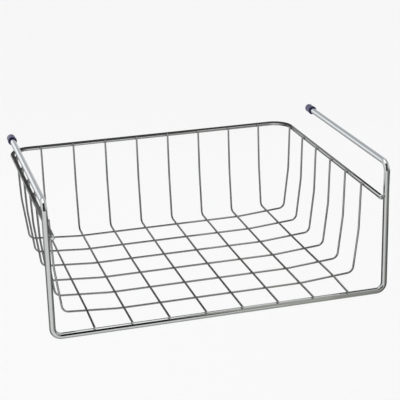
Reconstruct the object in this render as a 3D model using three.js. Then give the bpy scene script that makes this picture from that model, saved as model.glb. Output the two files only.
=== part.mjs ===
import * as THREE from 'three';

// A welded wire basket, open at the front and the top, that hangs by two long arms.
// Millimetres. X runs across the basket, Y from its open front to its back, Z up.
// The group's origin is the centre of its footprint, on the surface that it stands on.
// Inside the group, heights count from the front rail's centre line and depths from the uprights'.

// Hanger frame: one heavy rod, bent into the front loop and both arms
const frameSpan = 324;
const frameRise = 129;
const armReach = 206;
const frameRodRadius = 2.9;
const railBendRadius = 8;
const armBendRadius = 8;

// Rim: a medium rod round both sides and the back, welded inside the uprights
const rimHeight = 96.4;
const rimDepth = 270.5;
const rimRodRadius = 2.25;
const rimBendRadius = 20;

// Thin wires: floor, side walls and back wall
const thinRodRadius = 1;
const sideBendRadius = 7;
const backBendRadius = 5;
const easyBendRadius = 60;
const sideWallFlare = 7.5;
const backWallFlare = 7.4;
const wallBow = 2.1;
const wallBowHeight = 50;
const crossWireCount = 6;
const firstCrossWire = 39.3;
const lastCrossWireToBack = 15.7;
const longWireCount = 8;
const outerLongWireToSide = 22;

// The floor is a shallow dish: it drops behind the front rail and rises towards both sides
const floorDrop = 3;
const floorDropDepth = 148;
const floorEdgeRise = 4.1;
const floorEdgeWidth = 53.7;

// End caps, pushed onto the arms
const capLength = 13;
const capLipWall = 1.2;
const capLipLength = 1.2;
const capTaperLength = 1.2;
const capSideWall = 0.9;
const capEndWall = 2.6;
const capEndRound = 2.2;

// Clearances between pieces that touch
const weldGap = 0.2;
const capGap = 0.3;

// Faceting: each rod is a polygon whose flats lie at its true radius
const heavySides = 12;
const mediumSides = 8;
const thinSides = 8;
const capSides = 24;
const degreesPerBendStep = 15;
const capRoundSteps = 4;

// Places that follow from the sizes above
const uprightX = frameSpan / 2;
const rimX = uprightX - frameRodRadius - weldGap - rimRodRadius;
const wallTopX = rimX - rimRodRadius - weldGap - thinRodRadius;
const wallTopY = rimDepth - rimRodRadius - weldGap - thinRodRadius;
const wallTopHeight = rimHeight + rimRodRadius;
const floorHalfWidth = wallTopX - sideWallFlare;
const floorDepth = wallTopY - backWallFlare;
const crossWirePitch = (floorDepth - lastCrossWireToBack - firstCrossWire) / (crossWireCount - 1);
const longWirePitch = (2 * (floorHalfWidth - outerLongWireToSide)) / (longWireCount - 1);
const longWireHeight = frameRodRadius + weldGap + thinRodRadius;
const crossingStep = thinRodRadius + weldGap + thinRodRadius;
const flatFloorHalfWidth = floorHalfWidth - floorEdgeWidth;
const capMouth = armReach + capGap + capEndWall - capLength;
const armSeatEnd = capMouth - capGap;
const overallFront = -frameRodRadius;
const overallBack = rimDepth + rimRodRadius;

function plated(name, shade) {
  return new THREE.MeshStandardMaterial({ name, color: shade, metalness: 1, roughness: 0.12 });
}

const heavyChrome = plated('chrome on heavy rod', 0xc8cccd);
const thinChrome = plated('chrome on thin wire', 0x9fa1a0);
const bluePlastic = new THREE.MeshStandardMaterial({ name: 'blue plastic', color: 0x3c3a5c, roughness: 0.4 });

// A corner of a bent rod: where its straight runs would meet, and the bend's radius there.
// With no radius it marks a place on a straight run, and the rod's flats end and start again there.
function corner(x, y, z, bendRadius = 0) {
  return { point: new THREE.Vector3(x, y, z), bendRadius };
}

function directionBetween(from, to) {
  return to.point.clone().sub(from.point).normalize();
}

// The centre line of a bent rod: straight runs joined by round bends.
// Its stations are the two ends, any marked places and evenly turned steps along each bend.
class BentRodPath extends THREE.Curve {
  constructor(corners) {
    super();
    const last = corners.length - 1;
    this.stations = [];
    this.addStation(corners[0].point, directionBetween(corners[0], corners[1]));
    for (let i = 1; i < last; i += 1) {
      const before = directionBetween(corners[i - 1], corners[i]);
      const after = directionBetween(corners[i], corners[i + 1]);
      if (corners[i].bendRadius > 0) {
        this.addBend(corners[i], before, after);
      } else {
        this.addStation(corners[i].point, before);
      }
    }
    this.addStation(corners[last].point, directionBetween(corners[last - 1], corners[last]));
  }

  get steps() {
    return this.stations.length - 1;
  }

  addStation(point, tangent) {
    this.stations.push({ point, tangent });
  }

  addBend({ point, bendRadius }, before, after) {
    const turn = before.angleTo(after);
    const axis = before.clone().cross(after).normalize();
    const start = point.clone().addScaledVector(before, -bendRadius * Math.tan(turn / 2));
    const spoke = axis.clone().cross(before).multiplyScalar(-bendRadius);
    const centre = start.clone().sub(spoke);
    const steps = Math.ceil(THREE.MathUtils.radToDeg(turn) / degreesPerBendStep);
    for (let step = 0; step <= steps; step += 1) {
      const angle = (turn * step) / steps;
      const onBend = spoke.clone().applyAxisAngle(axis, angle).add(centre);
      this.addStation(onBend, before.clone().applyAxisAngle(axis, angle));
    }
  }

  // The stations either side of a share of the path, and how far between them it lies
  stationsAround(share) {
    const place = share * this.steps;
    const index = Math.min(Math.floor(place), this.steps - 1);
    return { from: this.stations[index], to: this.stations[index + 1], between: place - index };
  }

  getPoint(share, target = new THREE.Vector3()) {
    const { from, to, between } = this.stationsAround(share);
    return target.lerpVectors(from.point, to.point, between);
  }

  getTangent(share, target = new THREE.Vector3()) {
    const { from, to, between } = this.stationsAround(share);
    return target.lerpVectors(from.tangent, to.tangent, between).normalize();
  }

  getPointAt(share, target) {
    return this.getPoint(share, target);
  }

  getTangentAt(share, target) {
    return this.getTangent(share, target);
  }
}

// A polygon whose flats lie at the rod's radius, with a flat facing along each axis
function rodSection(radius, sides) {
  const halfSide = Math.PI / sides;
  const cornerRadius = radius / Math.cos(halfSide);
  const points = [];
  for (let i = 0; i < sides; i += 1) {
    const angle = halfSide * (2 * i + 1);
    points.push(new THREE.Vector2(cornerRadius * Math.cos(angle), cornerRadius * Math.sin(angle)));
  }
  return new THREE.Shape(points);
}

function bentRod(name, corners, radius, sides, material) {
  const path = new BentRodPath(corners);
  const section = rodSection(radius, sides);
  const geometry = new THREE.ExtrudeGeometry(section, { steps: path.steps, extrudePath: path });
  const rod = new THREE.Mesh(geometry, material);
  rod.name = name;
  return rod;
}

// Left arm, left upright, front rail, right upright and right arm in one rod.
// Each arm's underside is the seat that it hangs by, from the bend to just before the cap.
function hangerFrame() {
  const corners = [
    corner(-uprightX, armReach, frameRise),
    corner(-uprightX, armSeatEnd, frameRise),
    corner(-uprightX, 0, frameRise, armBendRadius),
    corner(-uprightX, 0, 0, railBendRadius),
    corner(uprightX, 0, 0, railBendRadius),
    corner(uprightX, 0, frameRise, armBendRadius),
    corner(uprightX, armSeatEnd, frameRise),
    corner(uprightX, armReach, frameRise),
  ];
  return bentRod('hanger_frame', corners, frameRodRadius, heavySides, heavyChrome);
}

// The rim's front ends stop flush with the front of the uprights
function rimRod() {
  const corners = [
    corner(-rimX, -frameRodRadius, rimHeight),
    corner(-rimX, rimDepth, rimHeight, rimBendRadius),
    corner(rimX, rimDepth, rimHeight, rimBendRadius),
    corner(rimX, -frameRodRadius, rimHeight),
  ];
  return bentRod('rim_rod', corners, rimRodRadius, mediumSides, heavyChrome);
}

// The height of the long wires' centre lines at a depth, in the level middle of the floor
function floorHeight(y) {
  return longWireHeight - floorDrop * Math.min(1, y / floorDropDepth);
}

// How far the floor has risen at a distance from its middle
function edgeLift(x) {
  return floorEdgeRise * Math.max(0, (Math.abs(x) - flatFloorHalfWidth) / floorEdgeWidth);
}

// How far in or back a wall lies where it bows, between its foot and its top
function bowedWall(foot, footHeight, top) {
  const share = (wallBowHeight - footHeight) / (wallTopHeight - footHeight);
  return THREE.MathUtils.lerp(foot, top, share) + wallBow;
}

// A cross wire makes one strand of the left wall, the floor and the right wall.
// Its ends stand against the rim's inner side, level with the rim's top.
function crossWire(index) {
  const y = firstCrossWire + index * crossWirePitch;
  const floor = floorHeight(y) - crossingStep;
  const foot = floor + floorEdgeRise;
  const bowX = bowedWall(floorHalfWidth, foot, wallTopX);
  const corners = [
    corner(-wallTopX, y, wallTopHeight),
    corner(-bowX, y, wallBowHeight, easyBendRadius),
    corner(-floorHalfWidth, y, foot, sideBendRadius),
    corner(-flatFloorHalfWidth, y, floor, easyBendRadius),
    corner(flatFloorHalfWidth, y, floor, easyBendRadius),
    corner(floorHalfWidth, y, foot, sideBendRadius),
    corner(bowX, y, wallBowHeight, easyBendRadius),
    corner(wallTopX, y, wallTopHeight),
  ];
  return bentRod(`cross_wire_${index + 1}`, corners, thinRodRadius, thinSides, thinChrome);
}

// A long wire lies on the front rail and the cross wires, and turns up as the back wall.
// Its front end stops flush with the front of the rail. Where it lies on the floor's raised
// edge, it climbs to the first cross wire.
function longWire(index) {
  const x = (index - (longWireCount - 1) / 2) * longWirePitch;
  const lift = edgeLift(x);
  const overFirstWire = corner(x, firstCrossWire, floorHeight(firstCrossWire) + lift, easyBendRadius);
  const foot = floorHeight(floorDepth) + lift;
  const corners = [
    corner(x, -frameRodRadius, longWireHeight),
    corner(x, 0, longWireHeight, easyBendRadius),
    ...(lift > 0 ? [overFirstWire] : []),
    corner(x, floorDropDepth, foot, easyBendRadius),
    corner(x, floorDepth, foot, backBendRadius),
    corner(x, bowedWall(floorDepth, foot, wallTopY), wallBowHeight, easyBendRadius),
    corner(x, wallTopY, wallTopHeight),
  ];
  return bentRod(`long_wire_${index + 1}`, corners, thinRodRadius, thinSides, thinChrome);
}

// Half the outline of a cap, from the bore's end round the mouth to the closed end
function capOutline() {
  const boreRadius = frameRodRadius / Math.cos(Math.PI / heavySides) + capGap;
  const boreDepth = capLength - capEndWall;
  const lipRadius = boreRadius + capLipWall;
  const sideRadius = boreRadius + capSideWall;
  const outline = [
    new THREE.Vector2(0, boreDepth),
    new THREE.Vector2(boreRadius, boreDepth),
    new THREE.Vector2(boreRadius, 0),
    new THREE.Vector2(lipRadius, 0),
    new THREE.Vector2(lipRadius, capLipLength),
    new THREE.Vector2(sideRadius, capLipLength + capTaperLength),
  ];
  for (let step = 0; step <= capRoundSteps; step += 1) {
    const angle = (Math.PI / 2) * (step / capRoundSteps);
    const radius = sideRadius - capEndRound * (1 - Math.cos(angle));
    outline.push(new THREE.Vector2(radius, capLength - capEndRound * (1 - Math.sin(angle))));
  }
  outline.push(new THREE.Vector2(0, capLength));
  return outline;
}

function armCap(name, x) {
  const cap = new THREE.Mesh(new THREE.LatheGeometry(capOutline(), capSides), bluePlastic);
  cap.name = name;
  cap.position.set(x, capMouth, frameRise);
  return cap;
}

function basket() {
  const pieces = new THREE.Group();
  pieces.add(hangerFrame(), rimRod());
  for (let i = 0; i < crossWireCount; i += 1) {
    pieces.add(crossWire(i));
  }
  for (let i = 0; i < longWireCount; i += 1) {
    pieces.add(longWire(i));
  }
  pieces.add(armCap('left_arm_cap', -uprightX), armCap('right_arm_cap', uprightX));
  pieces.position.set(0, -(overallFront + overallBack) / 2, frameRodRadius);
  const part = new THREE.Group();
  part.add(pieces);
  return part;
}

export default basket();
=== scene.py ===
import math
import random
from typing import NamedTuple

import bpy
from mathutils import Matrix, Vector, kdtree, noise


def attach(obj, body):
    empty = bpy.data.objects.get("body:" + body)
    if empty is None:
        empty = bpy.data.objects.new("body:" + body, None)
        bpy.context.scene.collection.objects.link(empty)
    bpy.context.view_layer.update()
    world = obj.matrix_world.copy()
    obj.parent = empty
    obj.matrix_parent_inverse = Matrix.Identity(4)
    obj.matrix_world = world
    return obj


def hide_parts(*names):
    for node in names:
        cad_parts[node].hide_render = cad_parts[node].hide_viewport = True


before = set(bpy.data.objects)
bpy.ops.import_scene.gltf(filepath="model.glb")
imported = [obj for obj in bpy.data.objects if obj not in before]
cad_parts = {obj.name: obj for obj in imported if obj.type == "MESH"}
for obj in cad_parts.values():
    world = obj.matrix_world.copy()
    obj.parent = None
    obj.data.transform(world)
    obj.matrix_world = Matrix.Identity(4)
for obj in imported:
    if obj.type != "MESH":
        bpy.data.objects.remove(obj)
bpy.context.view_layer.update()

# A chromed wire basket that hangs by two long arms with plastic end caps.
# Sizes are in millimetres, as in the solids: x across, y from the uprights' centre line to the
# back, z up from the front rail's centre line. place() turns them into the frame's metres.
MM = 0.001

# Hanger frame: one heavy rod, bent into the front loop and both arms
FRAME_SPAN, FRAME_RISE, ARM_REACH = 324, 129, 206
FRAME_RADIUS, FRAME_BEND = 2.9, 8

# Rim: a medium rod round both sides and the back
RIM_HEIGHT, RIM_DEPTH = 96.4, 270.5
RIM_RADIUS, RIM_BEND = 2.25, 20

# Thin wires: floor, side walls and back wall
WIRE_RADIUS = 1.0
SIDE_BEND, BACK_BEND, EASY_BEND = 7, 5, 60
SIDE_FLARE, BACK_FLARE = 7.5, 7.4
WALL_BOW, WALL_BOW_HEIGHT = 2.1, 50
CROSS_COUNT, FIRST_CROSS, LAST_CROSS_TO_BACK = 6, 39.3, 15.7
LONG_COUNT, OUTER_LONG_TO_SIDE = 8, 22

# The floor is a shallow dish: it drops behind the front rail and rises towards both sides
FLOOR_DROP, FLOOR_DROP_DEPTH = 3, 148
FLOOR_EDGE_RISE, FLOOR_EDGE_WIDTH = 4.1, 53.7

# End caps, pushed onto the arms
CAP_LENGTH, CAP_END_WALL, CAP_SIDE_WALL = 13, 2.6, 0.9
CAP_LIP_WALL, CAP_LIP_LENGTH, CAP_TAPER = 1.2, 1.2, 1.2
CAP_END_ROUND = 2.2

# Clearances between pieces that touch, and the flats of the solids' heavy rod
WELD_GAP, CAP_GAP = 0.2, 0.3
FRAME_SOLID_SIDES = 12

# Places that follow from the sizes above
UPRIGHT_X = FRAME_SPAN / 2
RIM_X = UPRIGHT_X - FRAME_RADIUS - WELD_GAP - RIM_RADIUS
WALL_TOP_X = RIM_X - RIM_RADIUS - WELD_GAP - WIRE_RADIUS
WALL_TOP_Y = RIM_DEPTH - RIM_RADIUS - WELD_GAP - WIRE_RADIUS
WALL_TOP_HEIGHT = RIM_HEIGHT + RIM_RADIUS
FLOOR_HALF = WALL_TOP_X - SIDE_FLARE
FLOOR_DEPTH = WALL_TOP_Y - BACK_FLARE
CROSS_PITCH = (FLOOR_DEPTH - LAST_CROSS_TO_BACK - FIRST_CROSS) / (CROSS_COUNT - 1)
LONG_PITCH = 2 * (FLOOR_HALF - OUTER_LONG_TO_SIDE) / (LONG_COUNT - 1)
LONG_HEIGHT = FRAME_RADIUS + WELD_GAP + WIRE_RADIUS
CROSSING_STEP = WIRE_RADIUS + WELD_GAP + WIRE_RADIUS
FLAT_HALF = FLOOR_HALF - FLOOR_EDGE_WIDTH
CAP_MOUTH = ARM_REACH + CAP_GAP + CAP_END_WALL - CAP_LENGTH
DEPTH_SHIFT = (FRAME_RADIUS - RIM_DEPTH - RIM_RADIUS) / 2
HEIGHT_SHIFT = FRAME_RADIUS

X, Y, Z = Vector((1, 0, 0)), Vector((0, 1, 0)), Vector((0, 0, 1))


def place(point):
    """A point in the basket's millimetres, turned into the frame's metres."""
    x, y, z = point
    return (x * MM, (y + DEPTH_SHIFT) * MM, (z + HEIGHT_SHIFT) * MM)


# Skins
SHARP_ANGLE = math.radians(50)


def mesh_object(name, verts, faces, uvs=None):
    """A smooth mesh with its sharp edges kept, linked to the scene."""
    mesh = bpy.data.meshes.new(name)
    mesh.from_pydata(verts, [], faces)
    if uvs:
        layer = mesh.uv_layers.new(name="UVMap")
        layer.data.foreach_set("uv", [c for uv in uvs for c in uv])
    mesh.polygons.foreach_set("use_smooth", [True] * len(mesh.polygons))
    mesh.set_sharp_from_angle(angle=SHARP_ANGLE)
    mesh.update()
    piece = bpy.data.objects.new(name, mesh)
    bpy.context.scene.collection.objects.link(piece)
    return piece


def add_skin(verts, faces, rings, first_hub, last_hub):
    """Adds a closed skin: quads between rings of points, and a fan to a hub at each end."""
    base, sides = len(verts), len(rings[0])
    for ring in rings:
        verts.extend(ring)
    for start in range(base, len(verts) - sides, sides):
        for k in range(sides):
            a, b = start + k, start + (k + 1) % sides
            faces.append((a, b, b + sides, a + sides))
    last_start = len(verts) - sides
    for start, hub_point, flip in ((base, first_hub, True), (last_start, last_hub, False)):
        hub = len(verts)
        verts.append(hub_point)
        for k in range(sides):
            a, b = start + k, start + (k + 1) % sides
            faces.append((b, a, hub) if flip else (a, b, hub))


# Rods
BEND_STEP = math.radians(5)
STRAIGHT_STEP = 4
FRAME_SIDES, RIM_SIDES, WIRE_SIDES = 48, 36, 20
CUT_ROUND, RIM_CUT_ROUND = 0.22, 1.3
CUT_STEPS = 6


def centre_line(corners):
    """Points and directions along a rod: corners are (x, y, z, bend radius)."""
    points = [Vector(c[:3]) for c in corners]
    stations = [(points[0], (points[1] - points[0]).normalized())]
    for i in range(1, len(points) - 1):
        before = (points[i] - points[i - 1]).normalized()
        after = (points[i + 1] - points[i]).normalized()
        turn = before.angle(after)
        axis = before.cross(after).normalized()
        radius = corners[i][3]
        start = points[i] - before * radius * math.tan(turn / 2)
        spoke = -axis.cross(before) * radius
        middle = start - spoke
        run_to(stations, start, before)
        steps = math.ceil(turn / BEND_STEP)
        for step in range(1, steps + 1):
            rotation = Matrix.Rotation(turn * step / steps, 3, axis)
            stations.append((middle + rotation @ spoke, rotation @ before))
    run_to(stations, points[-1], (points[-1] - points[-2]).normalized())
    return stations


def run_to(stations, end, direction):
    """Adds evenly spaced stations on a straight run from the last station to its end."""
    start = stations[-1][0]
    steps = max(1, round((end - start).length / STRAIGHT_STEP))
    for step in range(1, steps + 1):
        stations.append((start.lerp(end, step / steps), direction))


def cut_end(tip, inward, direction, radius, cut_round):
    """Rings round a cut end, from the full rod to the face of the cut."""
    rings = []
    for step in range(CUT_STEPS + 1):
        turn = math.pi / 2 * step / CUT_STEPS
        centre = tip + inward * cut_round * (1 - math.sin(turn))
        rings.append((centre, direction, radius - cut_round * (1 - math.cos(turn))))
    return rings


def rod_rings(corners, radius, cut_round=CUT_ROUND):
    """Rings as (centre, direction, radius), with both cut ends slightly rounded."""
    stations = centre_line(corners)
    (first, out), (last, ahead) = stations[0], stations[-1]
    rings = cut_end(first, out, out, radius, cut_round)[::-1]
    rings += [(point, direction, radius) for point, direction in stations[1:-1]]
    rings += cut_end(last, -ahead, ahead, radius, cut_round)
    return rings


def tube(name, rings, sides):
    """A closed skin over rings. Its UV map runs round and along the rod in metres."""
    side_way = rings[0][1].orthogonal().normalized()
    circles, along, travelled = [], [], 0.0
    for i, (centre, direction, radius) in enumerate(rings):
        if i:
            before = rings[i - 1]
            side_way = before[1].rotation_difference(direction) @ side_way
            travelled += (centre - before[0]).length
        other_way = direction.cross(side_way)
        along.append(travelled * MM)
        circle = []
        for k in range(sides):
            a = 2 * math.pi * k / sides
            circle.append(place(centre + (side_way * math.cos(a) + other_way * math.sin(a)) * radius))
        circles.append(circle)
    verts, faces = [], []
    add_skin(verts, faces, circles, place(rings[0][0]), place(rings[-1][0]))
    girth = 2 * math.pi * rings[len(rings) // 2][2] * MM
    return mesh_object(name, verts, faces, tube_uvs(along, sides, girth))


def tube_uvs(along, sides, girth):
    """The UV corners of a tube's faces, in the order in which add_skin adds the faces."""
    uvs = []
    for near, far in zip(along, along[1:]):
        for k in range(sides):
            u0, u1 = girth * k / sides, girth * (k + 1) / sides
            uvs += [(u0, near), (u1, near), (u1, far), (u0, far)]
    for end in (along[0], along[-1]):
        uvs += [(0.0, end)] * (3 * sides)
    return uvs


# The wires' courses
LEFT_ARM = [
    (-UPRIGHT_X, ARM_REACH, FRAME_RISE, 0),
    (-UPRIGHT_X, 0, FRAME_RISE, FRAME_BEND),
    (-UPRIGHT_X, 0, 0, FRAME_BEND),
]
LEFT_RIM = [
    (-RIM_X, -FRAME_RADIUS, RIM_HEIGHT, 0),
    (-RIM_X, RIM_DEPTH, RIM_HEIGHT, RIM_BEND),
]
cross_ys = [FIRST_CROSS + i * CROSS_PITCH for i in range(CROSS_COUNT)]
long_xs = [(i - (LONG_COUNT - 1) / 2) * LONG_PITCH for i in range(LONG_COUNT)]


def both_halves(left):
    """A course from its left half: the same corners come back mirrored on the right."""
    return left + [(-x, *rest) for x, *rest in reversed(left)]


def floor_height(y):
    """Height of the long wires at a depth, in the level middle of the floor."""
    return LONG_HEIGHT - FLOOR_DROP * min(1, y / FLOOR_DROP_DEPTH)


def edge_lift(x):
    """How far the floor has risen at a distance from its middle."""
    return FLOOR_EDGE_RISE * max(0, (abs(x) - FLAT_HALF) / FLOOR_EDGE_WIDTH)


def bowed_wall(foot, foot_height, top):
    """How far out a wall lies where it bows, between its foot and its top."""
    share = (WALL_BOW_HEIGHT - foot_height) / (WALL_TOP_HEIGHT - foot_height)
    return foot + (top - foot) * share + WALL_BOW


def cross_course(y):
    """One strand of the left wall, the floor and the right wall."""
    floor = floor_height(y) - CROSSING_STEP
    foot = floor + FLOOR_EDGE_RISE
    bow = bowed_wall(FLOOR_HALF, foot, WALL_TOP_X)
    return both_halves([
        (-WALL_TOP_X, y, WALL_TOP_HEIGHT, 0),
        (-bow, y, WALL_BOW_HEIGHT, EASY_BEND),
        (-FLOOR_HALF, y, foot, SIDE_BEND),
        (-FLAT_HALF, y, floor, EASY_BEND),
    ])


def long_course(x):
    """From the front rail over the cross wires, and up as the back wall."""
    lift = edge_lift(x)
    foot = floor_height(FLOOR_DEPTH) + lift
    over_first = (x, FIRST_CROSS, floor_height(FIRST_CROSS) + lift, EASY_BEND)
    return [
        (x, -FRAME_RADIUS, LONG_HEIGHT, 0),
        (x, 0, LONG_HEIGHT, EASY_BEND),
        *([over_first] if lift > 0 else []),
        (x, FLOOR_DROP_DEPTH, foot, EASY_BEND),
        (x, FLOOR_DEPTH, foot, BACK_BEND),
        (x, bowed_wall(FLOOR_DEPTH, foot, WALL_TOP_Y), WALL_BOW_HEIGHT, EASY_BEND),
        (x, WALL_TOP_Y, WALL_TOP_HEIGHT, 0),
    ]


# Spot welds
WELD_SIDES, WELD_SEED = 20, 7
WELD_REACH, RIM_END_REACH = 0.82, 1.6
SWELL_LEAST, SWELL_MOST = 0.93, 1.07
BUMP_HEIGHT, BUMP_SPREAD, BUMP_ROUND = 0.06, 0.7, 3.1
HUB_SINK = 0.35
# Share of the reach, share of the way up between the rods, and depth sunk into a rod in millimetres
WELD_LEVELS = (
    (0.55, 0, 0.3),
    (1.0, 0, 0.05),
    (0.9, 0.18, 0),
    (0.8, 0.5, 0),
    (0.9, 0.82, 0),
    (1.0, 1, 0.05),
    (0.55, 1, 0.3),
)


class Weld(NamedTuple):
    """A weld's foot on the rod that carries it, the way to the other rod, and both rods."""
    foot: Vector
    way: Vector
    carrier: Vector
    carrier_radius: float
    other: Vector
    other_radius: float
    reach: float


def thin_weld(foot, way, carrier, carrier_radius, other):
    """A weld between a thin wire and the rod that carries it."""
    return Weld(Vector(foot), way, carrier, carrier_radius, other, WIRE_RADIUS, WELD_REACH)


def all_welds():
    """The welds at the crossings, on the front rail, on the rim and at the rim's ends."""
    welds = []
    for x in long_xs:
        for y in cross_ys:
            cross_top = floor_height(y) + edge_lift(x) - WELD_GAP - WIRE_RADIUS
            welds.append(thin_weld((x, y, cross_top), Z, X, WIRE_RADIUS, Y))
        welds.append(thin_weld((x, 0, FRAME_RADIUS), Z, X, FRAME_RADIUS, Y))
        welds.append(thin_weld((x, RIM_DEPTH - RIM_RADIUS, RIM_HEIGHT), -Y, X, RIM_RADIUS, Z))
    for side in (-1, 1):
        for y in cross_ys:
            foot = (side * (RIM_X - RIM_RADIUS), y, RIM_HEIGHT)
            welds.append(thin_weld(foot, -side * X, Y, RIM_RADIUS, Z))
        foot = Vector((side * (UPRIGHT_X - FRAME_RADIUS), 0, RIM_HEIGHT))
        welds.append(Weld(foot, -side * X, Z, FRAME_RADIUS, Y, RIM_RADIUS, RIM_END_REACH))
    return welds


def fall(radius, off):
    """How far a round rod's surface has fallen at a distance off its crest."""
    return radius - math.sqrt(max(0, radius ** 2 - off ** 2))


def add_weld(verts, faces, weld, rng):
    """A saddle between two crossing rods, drawn in at its waist."""
    across = weld.way.cross(weld.carrier).normalized()
    swell = weld.reach * rng.uniform(SWELL_LEAST, SWELL_MOST)
    spokes = []
    for k in range(WELD_SIDES):
        turn = 2 * math.pi * k / WELD_SIDES
        bump_place = Vector((BUMP_ROUND * math.cos(turn), BUMP_ROUND * math.sin(turn), 0))
        bump = 1 + BUMP_HEIGHT * noise.noise(weld.foot * BUMP_SPREAD + bump_place)
        spokes.append((weld.carrier * math.cos(turn) + across * math.sin(turn)) * (swell * bump))
    rings = []
    for share, rise, sunk in WELD_LEVELS:
        ring = []
        for spoke in spokes:
            off = spoke * share
            off_carrier = (off - weld.carrier * off.dot(weld.carrier)).length
            off_other = (off - weld.other * off.dot(weld.other)).length
            low = -fall(weld.carrier_radius, off_carrier) - sunk
            high = WELD_GAP + fall(weld.other_radius, off_other) + sunk
            ring.append(place(weld.foot + off + weld.way * (low + (high - low) * rise)))
        rings.append(ring)
    lower_hub = place(weld.foot - weld.way * HUB_SINK)
    upper_hub = place(weld.foot + weld.way * (WELD_GAP + HUB_SINK))
    add_skin(verts, faces, rings, lower_hub, upper_hub)


def weld_piece(name, chosen):
    """All the chosen welds in one mesh."""
    verts, faces, rng = [], [], random.Random(WELD_SEED)
    for weld in chosen:
        add_weld(verts, faces, weld, rng)
    return mesh_object(name, verts, faces)


# End caps
CAP_SIDES = 64
CAP_BORE = FRAME_RADIUS / math.cos(math.pi / FRAME_SOLID_SIDES) + CAP_GAP
CAP_SKIN_BORE = CAP_BORE - CAP_GAP / 2
LIP_RADIUS = CAP_BORE + CAP_LIP_WALL
SIDE_RADIUS = CAP_BORE + CAP_SIDE_WALL
# The moulding's small forms: the bore's end, the mouth's edge, the lip, the hollow taper behind
# it, the rings along the side as shares of the length, and the gate mark on the closed end
BORE_END_SHARE, BORE_END_LENGTH = 0.9, 0.3
MOUTH_OUT, MOUTH_ROUND, MOUTH_LENGTH = 0.2, 0.25, 0.35
LIP_ROUND = 0.3
TAPER_MIDDLE, TAPER_MIDDLE_WALL = 0.55, 0.08
SIDE_SHARES = (0.35, 0.5, 0.65, 0.8)
GATE_RADIUS, GATE_DEPTH, GATE_SLOPE = 0.8, 0.15, 0.15


def arc(centre_r, centre_y, radius, start, end, steps):
    """Points round a centre, from a start to an end in degrees."""
    points = []
    for i in range(steps + 1):
        turn = math.radians(start + (end - start) * i / steps)
        points.append((centre_r + radius * math.cos(turn), centre_y + radius * math.sin(turn)))
    return points


def cap_outline():
    """(radius, way in from the mouth), from the bore's end round the mouth to the closed end."""
    bore_depth = CAP_LENGTH - CAP_END_WALL
    lip_middle = LIP_RADIUS - LIP_ROUND
    return [
        (0, bore_depth),
        (CAP_SKIN_BORE * BORE_END_SHARE, bore_depth),
        (CAP_SKIN_BORE, bore_depth - BORE_END_LENGTH),
        (CAP_SKIN_BORE, MOUTH_LENGTH),
        *arc(CAP_BORE + MOUTH_OUT, MOUTH_ROUND, MOUTH_ROUND, 180, 270, 4),
        *arc(lip_middle, LIP_ROUND, LIP_ROUND, 270, 360, 5),
        *arc(lip_middle, CAP_LIP_LENGTH - LIP_ROUND / 2, LIP_ROUND, 0, 50, 3),
        (SIDE_RADIUS + TAPER_MIDDLE_WALL, CAP_LIP_LENGTH + CAP_TAPER * TAPER_MIDDLE),
        (SIDE_RADIUS, CAP_LIP_LENGTH + CAP_TAPER),
        *[(SIDE_RADIUS, CAP_LENGTH * share) for share in SIDE_SHARES],
        *arc(SIDE_RADIUS - CAP_END_ROUND, CAP_LENGTH - CAP_END_ROUND, CAP_END_ROUND, 0, 90, 9),
        (GATE_RADIUS + GATE_SLOPE, CAP_LENGTH),
        (GATE_RADIUS, CAP_LENGTH - GATE_DEPTH),
        (0, CAP_LENGTH - GATE_DEPTH),
    ]


def cap_piece(name, x):
    """A turned cap on the arm at x."""
    outline = cap_outline()
    rings = []
    for radius, y in outline[1:-1]:
        ring = []
        for k in range(CAP_SIDES):
            a = 2 * math.pi * k / CAP_SIDES
            aside, up = radius * math.sin(a), radius * math.cos(a)
            ring.append(place((x + aside, CAP_MOUTH + y, FRAME_RISE + up)))
        rings.append(ring)
    bore_end = place((x, CAP_MOUTH + outline[0][1], FRAME_RISE))
    closed_end = place((x, CAP_MOUTH + outline[-1][1], FRAME_RISE))
    verts, faces = [], []
    add_skin(verts, faces, rings, bore_end, closed_end)
    return mesh_object(name, verts, faces)


# Materials
def new_material(name):
    """A material with an empty node tree."""
    made = bpy.data.materials.new(name)
    made.use_nodes = True
    made.node_tree.nodes.clear()
    return made, made.node_tree


def add_node(tree, kind, inputs=None, operation=None):
    """A new shader node with its inputs filled in."""
    node = tree.nodes.new("ShaderNode" + kind)
    if operation:
        node.operation = operation
    for socket, value in (inputs or {}).items():
        node.inputs[socket].default_value = value
    return node


def add_noise(tree, place_socket, scale, detail):
    """A noise pattern over the places that a socket gives."""
    pattern = add_node(tree, "TexNoise", {"Scale": scale, "Detail": detail})
    tree.links.new(place_socket, pattern.inputs[0])
    return pattern.outputs[0]


def add_scaled_sum(tree, socket, factor, added):
    """One socket times a factor, plus another socket."""
    result = add_node(tree, "Math", {1: factor}, "MULTIPLY_ADD")
    tree.links.new(socket, result.inputs[0])
    tree.links.new(added, result.inputs[2])
    return result.outputs[0]


def add_bump(tree, height, strength, distance):
    """A bump from a pattern's height."""
    bump = add_node(tree, "Bump", {"Strength": strength, "Distance": distance})
    tree.links.new(height, bump.inputs["Height"])
    return bump


# Chrome: pattern sizes per metre, then what each pattern and the nearness of a weld change
GRAIN_STRETCH, GRAIN_DETAIL = (5200, 26, 1), 3.0
CLOUD_SCALE, CLOUD_DETAIL = 140, 4.0
WAVE_SCALE, WAVE_DETAIL = 45, 2.0
CLOUD_LOW, CLOUD_HIGH = 0.35, 0.7
CLOUD_SMOOTHEST, CLOUD_ROUGHEST = 0.7, 1.5
GRAIN_ROUGHENS, WELD_ROUGHENS = 0.05, 0.16
CLOUD_DULLS, WELD_DULLS = 0.12, 0.75
WAVE_STRENGTH, WAVE_DISTANCE = 0.6, 0.06 * MM
GRAIN_STRENGTH, GRAIN_DISTANCE = 0.25, 0.004 * MM
MIX_FROM, MIX_TO, MIX_RESULT = 6, 7, 2


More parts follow.
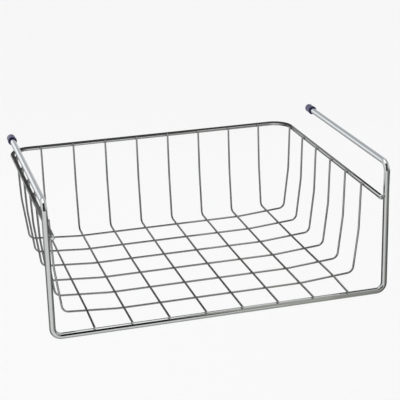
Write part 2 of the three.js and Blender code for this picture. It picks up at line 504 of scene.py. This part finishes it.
def chrome(name, colour, dull, roughness):
    """Bright plating: a faint drawn grain along the rod, slight waves, and duller by the welds."""
    made, tree = new_material(name)
    out = add_node(tree, "OutputMaterial")
    shader = add_node(tree, "BsdfPrincipled", {"Metallic": 1.0})
    tree.links.new(shader.outputs[0], out.inputs[0])
    uv = add_node(tree, "UVMap")
    uv.uv_map = "UVMap"
    along = add_node(tree, "Mapping", {"Scale": GRAIN_STRETCH})
    tree.links.new(uv.outputs[0], along.inputs[0])
    where = add_node(tree, "TexCoord").outputs["Object"]
    near = add_node(tree, "Attribute")
    near.attribute_name = "near_weld"
    near_weld = near.outputs["Fac"]
    grain = add_noise(tree, along.outputs[0], 1.0, GRAIN_DETAIL)
    cloud = add_noise(tree, where, CLOUD_SCALE, CLOUD_DETAIL)
    waves = add_noise(tree, where, WAVE_SCALE, WAVE_DETAIL)
    # Roughness: the cloud's, and more in the grain and by the welds
    spread = add_node(tree, "MapRange", {
        "From Min": CLOUD_LOW,
        "From Max": CLOUD_HIGH,
        "To Min": roughness * CLOUD_SMOOTHEST,
        "To Max": roughness * CLOUD_ROUGHEST,
    })
    tree.links.new(cloud, spread.inputs[0])
    grained = add_scaled_sum(tree, grain, GRAIN_ROUGHENS, spread.outputs[0])
    rough = add_scaled_sum(tree, near_weld, WELD_ROUGHENS, grained)
    tree.links.new(rough, shader.inputs["Roughness"])
    # Colour: the plating, slightly clouded and duller by the welds
    near_weld_darkening = add_node(tree, "Math", {1: WELD_DULLS}, "MULTIPLY")
    tree.links.new(near_weld, near_weld_darkening.inputs[0])
    amount = add_scaled_sum(tree, cloud, CLOUD_DULLS, near_weld_darkening.outputs[0])
    shade = add_node(tree, "Mix")
    shade.data_type = "RGBA"
    shade.inputs[MIX_FROM].default_value = (*colour, 1)
    shade.inputs[MIX_TO].default_value = (*dull, 1)
    tree.links.new(amount, shade.inputs[0])
    tree.links.new(shade.outputs[MIX_RESULT], shader.inputs["Base Color"])
    # Bump: waves in the plating under the drawn grain
    broad = add_bump(tree, waves, WAVE_STRENGTH, WAVE_DISTANCE)
    drawn = add_bump(tree, grain, GRAIN_STRENGTH, GRAIN_DISTANCE)
    tree.links.new(broad.outputs[0], drawn.inputs["Normal"])
    tree.links.new(drawn.outputs[0], shader.inputs["Normal"])
    return made


# Plastic: pattern sizes per metre, then the cloud's colours and roughness and the grain's bump
PLASTIC_IOR = 1.5
PLASTIC_CLOUD_SCALE, PLASTIC_CLOUD_DETAIL = 260, 5.0
PLASTIC_GRAIN_SCALE, PLASTIC_GRAIN_DETAIL = 2600, 3.0
PLASTIC_DARK, PLASTIC_PALE = (0.030, 0.027, 0.085, 1), (0.062, 0.057, 0.150, 1)
PLASTIC_DARK_END, PLASTIC_PALE_END = 0.32, 0.72
PLASTIC_SMOOTHEST, PLASTIC_ROUGHEST = 0.26, 0.46
PLASTIC_GRAIN_STRENGTH, PLASTIC_GRAIN_DISTANCE = 0.5, 0.03 * MM


def cap_plastic(name):
    """Dark blue moulded plastic: soft gloss, a fine grain and slightly uneven colour."""
    made, tree = new_material(name)
    out = add_node(tree, "OutputMaterial")
    shader = add_node(tree, "BsdfPrincipled", {"IOR": PLASTIC_IOR})
    tree.links.new(shader.outputs[0], out.inputs[0])
    where = add_node(tree, "TexCoord").outputs["Object"]
    cloud = add_noise(tree, where, PLASTIC_CLOUD_SCALE, PLASTIC_CLOUD_DETAIL)
    grain = add_noise(tree, where, PLASTIC_GRAIN_SCALE, PLASTIC_GRAIN_DETAIL)
    ramp = add_node(tree, "ValToRGB")
    dark, pale = ramp.color_ramp.elements
    dark.position, dark.color = PLASTIC_DARK_END, PLASTIC_DARK
    pale.position, pale.color = PLASTIC_PALE_END, PLASTIC_PALE
    tree.links.new(cloud, ramp.inputs[0])
    tree.links.new(ramp.outputs[0], shader.inputs["Base Color"])
    spread = add_node(tree, "MapRange", {"To Min": PLASTIC_SMOOTHEST, "To Max": PLASTIC_ROUGHEST})
    tree.links.new(cloud, spread.inputs[0])
    tree.links.new(spread.outputs[0], shader.inputs["Roughness"])
    bump = add_bump(tree, grain, PLASTIC_GRAIN_STRENGTH, PLASTIC_GRAIN_DISTANCE)
    tree.links.new(bump.outputs[0], shader.inputs["Normal"])
    return made


# Each plating: its bright colour, its dull colour and its roughness
ROD_PLATE = ((0.62, 0.635, 0.63), (0.36, 0.36, 0.35), 0.07)
# Painted shade: the thin wires' plating is darker than the rods' to stand in for the shade over the
# basket's floor and walls
SHADED_WIRE_PLATE = ((0.42, 0.43, 0.425), (0.26, 0.26, 0.25), 0.09)
WELD_PLATE = ((0.44, 0.445, 0.44), (0.26, 0.26, 0.25), 0.20)
ROD_CHROME = chrome("rod_chrome_plate", *ROD_PLATE)
SHADED_WIRE_CHROME = chrome("wire_chrome_with_painted_shade", *SHADED_WIRE_PLATE)
WELD_CHROME = chrome("weld_chrome_plate", *WELD_PLATE)
CAP_PLASTIC = cap_plastic("cap_blue_plastic")

# Pieces
WELD_HALO = 3.2 * MM
HALO_FALL = 1.5
welds = all_welds()
weld_tree = kdtree.KDTree(len(welds))
for i, weld in enumerate(welds):
    weld_tree.insert(Vector(place(weld.foot)), i)
weld_tree.balance()


def dress(piece, look, node=None):
    """Gives a piece its material and its measure of nearness to a weld, hangs it on the root body, and
    hides the solid of its node.
    """
    piece.data.materials.append(look)
    near = piece.data.attributes.new("near_weld", "FLOAT", "POINT")
    for vertex in piece.data.vertices:
        gap = weld_tree.find(vertex.co)[2]
        near.data[vertex.index].value = max(0.0, 1 - gap / WELD_HALO) ** HALO_FALL
    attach(piece, "root")
    if node:
        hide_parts(node)


def thin_wire(node, course):
    """A thin wire in the place of a node."""
    wire = tube(node + "_round", rod_rings(course, WIRE_RADIUS), WIRE_SIDES)
    dress(wire, SHADED_WIRE_CHROME, node)


hanger = tube("hanger_frame_rod", rod_rings(both_halves(LEFT_ARM), FRAME_RADIUS), FRAME_SIDES)
dress(hanger, ROD_CHROME, "hanger_frame")
rim = tube("rim_rod_round", rod_rings(both_halves(LEFT_RIM), RIM_RADIUS, RIM_CUT_ROUND), RIM_SIDES)
dress(rim, ROD_CHROME, "rim_rod")
for i, y in enumerate(cross_ys, 1):
    thin_wire(f"cross_wire_{i}", cross_course(y))
for i, x in enumerate(long_xs, 1):
    thin_wire(f"long_wire_{i}", long_course(x))
dress(weld_piece("spot_welds", welds), WELD_CHROME)
for side, name in ((-1, "left_arm_cap"), (1, "right_arm_cap")):
    dress(cap_piece(name + "_moulding", side * UPRIGHT_X), CAP_PLASTIC, name)

# Studio: its places are in the frame's metres
FLOOR_BELOW, FLOOR_HALF_WIDTH = 0.55, 12
FLOOR_COLOUR, FLOOR_ROUGHNESS = (0.95, 0.95, 0.95, 1), 0.9
WHITE, COOL, WARM = (1, 1, 1), (0.94, 0.96, 1.0), (1.0, 1.0, 0.93)
SHADE_HEIGHT = 0.106

# Each card is a painted reflection: a glowing sheet that only the reflections show. It lies square to an
# axis at a place along it, and spans the other two axes:
# name, axis, place, first span, second span, radiance, tint
CARDS = (
    # Round the basket, under the arms: pale cards draw the light lines on the rim and the rail,
    # and the dark and grey ones the shade in the rest of the chrome
    ("shade_above_left", "z", SHADE_HEIGHT, (-0.5, 0.06), (-0.03, 0.28), 0.06, WHITE),
    ("shade_above_rim", "z", SHADE_HEIGHT, (0.06, 0.150), (-0.03, 0.12), 0.85, WHITE),
    ("shade_above_right", "z", SHADE_HEIGHT, (0.150, 0.5), (-0.03, 0.12), 0.26, WHITE),
    ("shade_above_back", "z", SHADE_HEIGHT, (0.06, 0.5), (0.12, 0.28), 0.06, WHITE),
    ("shade_above_left_rim", "z", SHADE_HEIGHT, (-0.5, -0.125), (-0.128, -0.03), 0.14, WHITE),
    ("pale_above_rail", "z", SHADE_HEIGHT, (-0.125, 0.153), (-0.128, -0.055), 0.88, WHITE),
    ("pale_above_rail_left", "z", SHADE_HEIGHT, (-0.125, 0.01), (-0.055, -0.03), 0.85, WHITE),
    ("grey_above_rail", "z", SHADE_HEIGHT, (0.01, 0.153), (-0.055, -0.03), 0.46, WHITE),
    ("black_above_rail", "z", SHADE_HEIGHT, (0.153, 0.5), (-0.128, -0.06), 0.03, WHITE),
    ("dark_above_rim", "z", SHADE_HEIGHT, (0.153, 0.5), (-0.06, -0.03), 0.18, WHITE),
    ("shade_behind", "y", 0.28, (-0.5, 0.5), (-0.54, 0.02), 0.08, WHITE),
    ("shade_behind_high", "y", 0.28, (-0.5, 0.5), (0.02, 0.105), 0.45, WHITE),
    ("shade_left", "x", -0.5, (-0.1, 0.28), (-0.54, -0.055), 0.07, WHITE),
    ("shade_left_high", "x", -0.5, (-0.1, 0.28), (-0.055, 0.105), 0.85, WHITE),
    ("shade_right", "x", 0.5, (-0.6, 0.28), (-0.54, -0.055), 0.12, WHITE),
    ("shade_right_high", "x", 0.5, (-0.1, 0.28), (-0.055, 0.105), 0.85, WHITE),
    ("shade_right_front", "x", 0.5, (-0.6, -0.1), (-0.055, 0.105), 0.12, WHITE),
    ("shade_before_left_wall", "y", -0.075, (-0.34, -0.152), (-0.08, 0.085), 0.20, WHITE),
    # What the arms' undersides show: a painted reflection of a pale surface, with a darker line under
    # each arm that is a painted contact shadow
    ("pale_under_arms", "z", 0.122, (-0.5, 0.5), (-0.125, 0.6), 0.80, COOL),
    ("painted_contact_shadow_left_arm", "z", 0.1225, (-0.190, -0.146), (-0.125, 0.10), 0.36, WHITE),
    ("painted_contact_shadow_right_arm", "z", 0.1225, (0.146, 0.176), (-0.125, 0.075), 0.42, WHITE),
    # The grey and black cards in front, which draw the dark lines along the rail and the bends, and the
    # pale cards overhead, whose painted reflections give the light along the rail and the painted glints
    # on the bends
    ("front_right_pale", "y", -0.3, (0.115, 0.17), (-0.3, 0.12), 0.52, WARM),
    ("front_right_grey", "y", -0.3, (0.17, 0.23), (-0.3, 0.12), 0.38, WARM),
    ("front_right_dark", "y", -0.3, (0.23, 0.36), (-0.3, 0.12), 0.22, WHITE),
    ("front_right", "y", -0.6, (0.25, 0.9), (-0.54, 0.3), 0.34, WHITE),
    ("front_black", "y", -1.3, (-1.3, 0.33), (-0.02, 1.25), 0.015, WHITE),
    ("front_black_top", "z", 1.26, (-1.3, 0.33), (-1.3, -0.5), 0.02, WHITE),
    ("front_grey_right", "y", -1.32, (0.33, 1.8), (-0.1, 1.3), 0.42, WARM),
    ("front_grey_left", "y", -1.32, (-1.9, -0.6), (-0.1, 1.3), 0.40, WHITE),
    ("canopy_right", "z", 1.3, (0.25, 2.0), (-1.3, 0.8), 0.42, WARM),
    ("canopy_right_pale", "z", 1.28, (0.20, 0.75), (-0.75, -0.1), 0.68, WHITE),
    ("canopy_middle", "z", 1.3, (-1.0, 0.25), (-0.5, 0.95), 0.85, WHITE),
    ("painted_glint_overhead", "z", 1.25, (-0.7, 0.25), (-0.35, 0.5), 1.8, WHITE),
    # Further out: the pale wall behind, and the floor nearby greyer with painted shade, seen only in the
    # reflections
    ("back_wall", "y", 2.2, (-3.0, 3.0), (-0.5, 2.2), 0.72, COOL),
    ("back_bright", "y", 2.15, (-1.4, -0.36), (0.03, 0.92), 1.38, COOL),
    ("back_grey", "y", 2.17, (-0.30, 1.3), (0.60, 2.2), 0.60, COOL),
    ("painted_floor_shade_left", "z", -0.53, (-2.0, 0.2), (-0.6, 0.6), 0.50, WHITE),
    ("painted_floor_shade_right", "z", -0.53, (0.2, 1.6), (-1.2, 0.6), 0.42, WARM),
)

# Softboxes: name, place, what they aim at, width, height, radiance
SOFTBOXES = (
    ("overhead_softbox", (-0.3, 0.3, 1.2), (-0.3, 0.3, 0), 1.0, 1.1, 0.15),
    ("rear_softbox", (-0.85, 2.3, 0.45), (0, 0, 0.1), 1.1, 0.9, 0.12),
)
AMBIENT_STRENGTH, BACKDROP_STRENGTH = 0.975, 1.0


def sheet(name, axis, at, first, second):
    """A flat sheet square to an axis, with a span along each of the other two."""
    corners = []
    for a, b in ((0, 0), (1, 0), (1, 1), (0, 1)):
        corner = [first[a], second[b]]
        corner.insert("xyz".index(axis), at)
        corners.append(corner)
    return mesh_object(name, corners, [(0, 1, 2, 3)])


def floor_piece():
    """A plain pale floor, well below the basket."""
    span = (-FLOOR_HALF_WIDTH, FLOOR_HALF_WIDTH)
    floor = sheet("floor", "z", -FLOOR_BELOW, span, span)
    made, tree = new_material("pale_floor")
    out = add_node(tree, "OutputMaterial")
    shader = add_node(tree, "BsdfPrincipled", {"Base Color": FLOOR_COLOUR, "Roughness": FLOOR_ROUGHNESS})
    tree.links.new(shader.outputs[0], out.inputs[0])
    floor.data.materials.append(made)


def card(name, axis, at, first, second, radiance, tint):
    """A glowing sheet that only the reflections show: a painted reflection of light or shade, which
    casts no shadow.
    """
    piece = sheet(name, axis, at, first, second)
    made, tree = new_material(name)
    out = add_node(tree, "OutputMaterial")
    glow = add_node(tree, "Emission", {"Color": (*tint, 1), "Strength": radiance})
    tree.links.new(glow.outputs[0], out.inputs[0])
    piece.data.materials.append(made)
    piece.visible_camera = piece.visible_diffuse = piece.visible_shadow = False
    piece.visible_transmission = piece.visible_volume_scatter = False


def softbox(name, location, aim, width, height, radiance):
    """A soft rectangular lamp that faces what it aims at."""
    lamp = bpy.data.lights.new(name, "AREA")
    lamp.shape = "RECTANGLE"
    lamp.size, lamp.size_y = width, height
    lamp.energy = radiance * math.pi * width * height
    holder = bpy.data.objects.new(name, lamp)
    holder.location = location
    holder.rotation_mode = "QUATERNION"
    holder.rotation_quaternion = (Vector(aim) - Vector(location)).to_track_quat("-Z", "Y")
    bpy.context.scene.collection.objects.link(holder)


def larger(tree, first, second):
    """The larger of two sockets."""
    result = add_node(tree, "Math", operation="MAXIMUM")
    tree.links.new(first, result.inputs[0])
    tree.links.new(second, result.inputs[1])
    return result.outputs[0]


def studio_world():
    """White light all round, a little brighter where the camera and the reflections see it."""
    world = bpy.data.worlds.new("studio")
    bpy.context.scene.world = world
    world.use_nodes = True
    tree = world.node_tree
    tree.nodes.clear()
    out = add_node(tree, "OutputWorld")
    mix = add_node(tree, "MixShader")
    ambient = add_node(tree, "Background", {"Color": (*WHITE, 1), "Strength": AMBIENT_STRENGTH})
    backdrop = add_node(tree, "Background", {"Color": (*WHITE, 1), "Strength": BACKDROP_STRENGTH})
    rays = add_node(tree, "LightPath").outputs
    seen = larger(tree, rays["Is Camera Ray"], rays["Is Glossy Ray"])
    seen = larger(tree, seen, rays["Is Transmission Ray"])
    tree.links.new(seen, mix.inputs[0])
    tree.links.new(ambient.outputs[0], mix.inputs[1])
    tree.links.new(backdrop.outputs[0], mix.inputs[2])
    tree.links.new(mix.outputs[0], out.inputs[0])


floor_piece()
for card_row in CARDS:
    card(*card_row)
for softbox_row in SOFTBOXES:
    softbox(*softbox_row)
studio_world()

# Camera: its place is in the basket's millimetres
CAMERA_PLACE = Vector((-303.2, -1020.8, 494.6))
YAW, PITCH, ROLL = math.radians(15.47), math.radians(19.73), math.radians(-1.45)
LENS = 112.1
CLIP_NEAR, CLIP_FAR = 0.05, 60
ahead = Vector((math.sin(YAW) * math.cos(PITCH), math.cos(YAW) * math.cos(PITCH), -math.sin(PITCH)))
level = Vector((math.cos(YAW), -math.sin(YAW), 0))
up = level.cross(ahead)
right = level * math.cos(ROLL) + up * math.sin(ROLL)
top = up * math.cos(ROLL) - level * math.sin(ROLL)
camera = bpy.data.objects.new("camera", bpy.data.cameras.new("camera"))
camera.data.lens = LENS
camera.data.clip_start, camera.data.clip_end = CLIP_NEAR, CLIP_FAR
turned = Matrix((right, top, -ahead)).transposed().to_4x4()
camera.matrix_world = Matrix.Translation(place(CAMERA_PLACE)) @ turned
bpy.context.scene.collection.objects.link(camera)
bpy.context.scene.camera = camera
bpy.context.scene.view_settings.view_transform = "Standard"
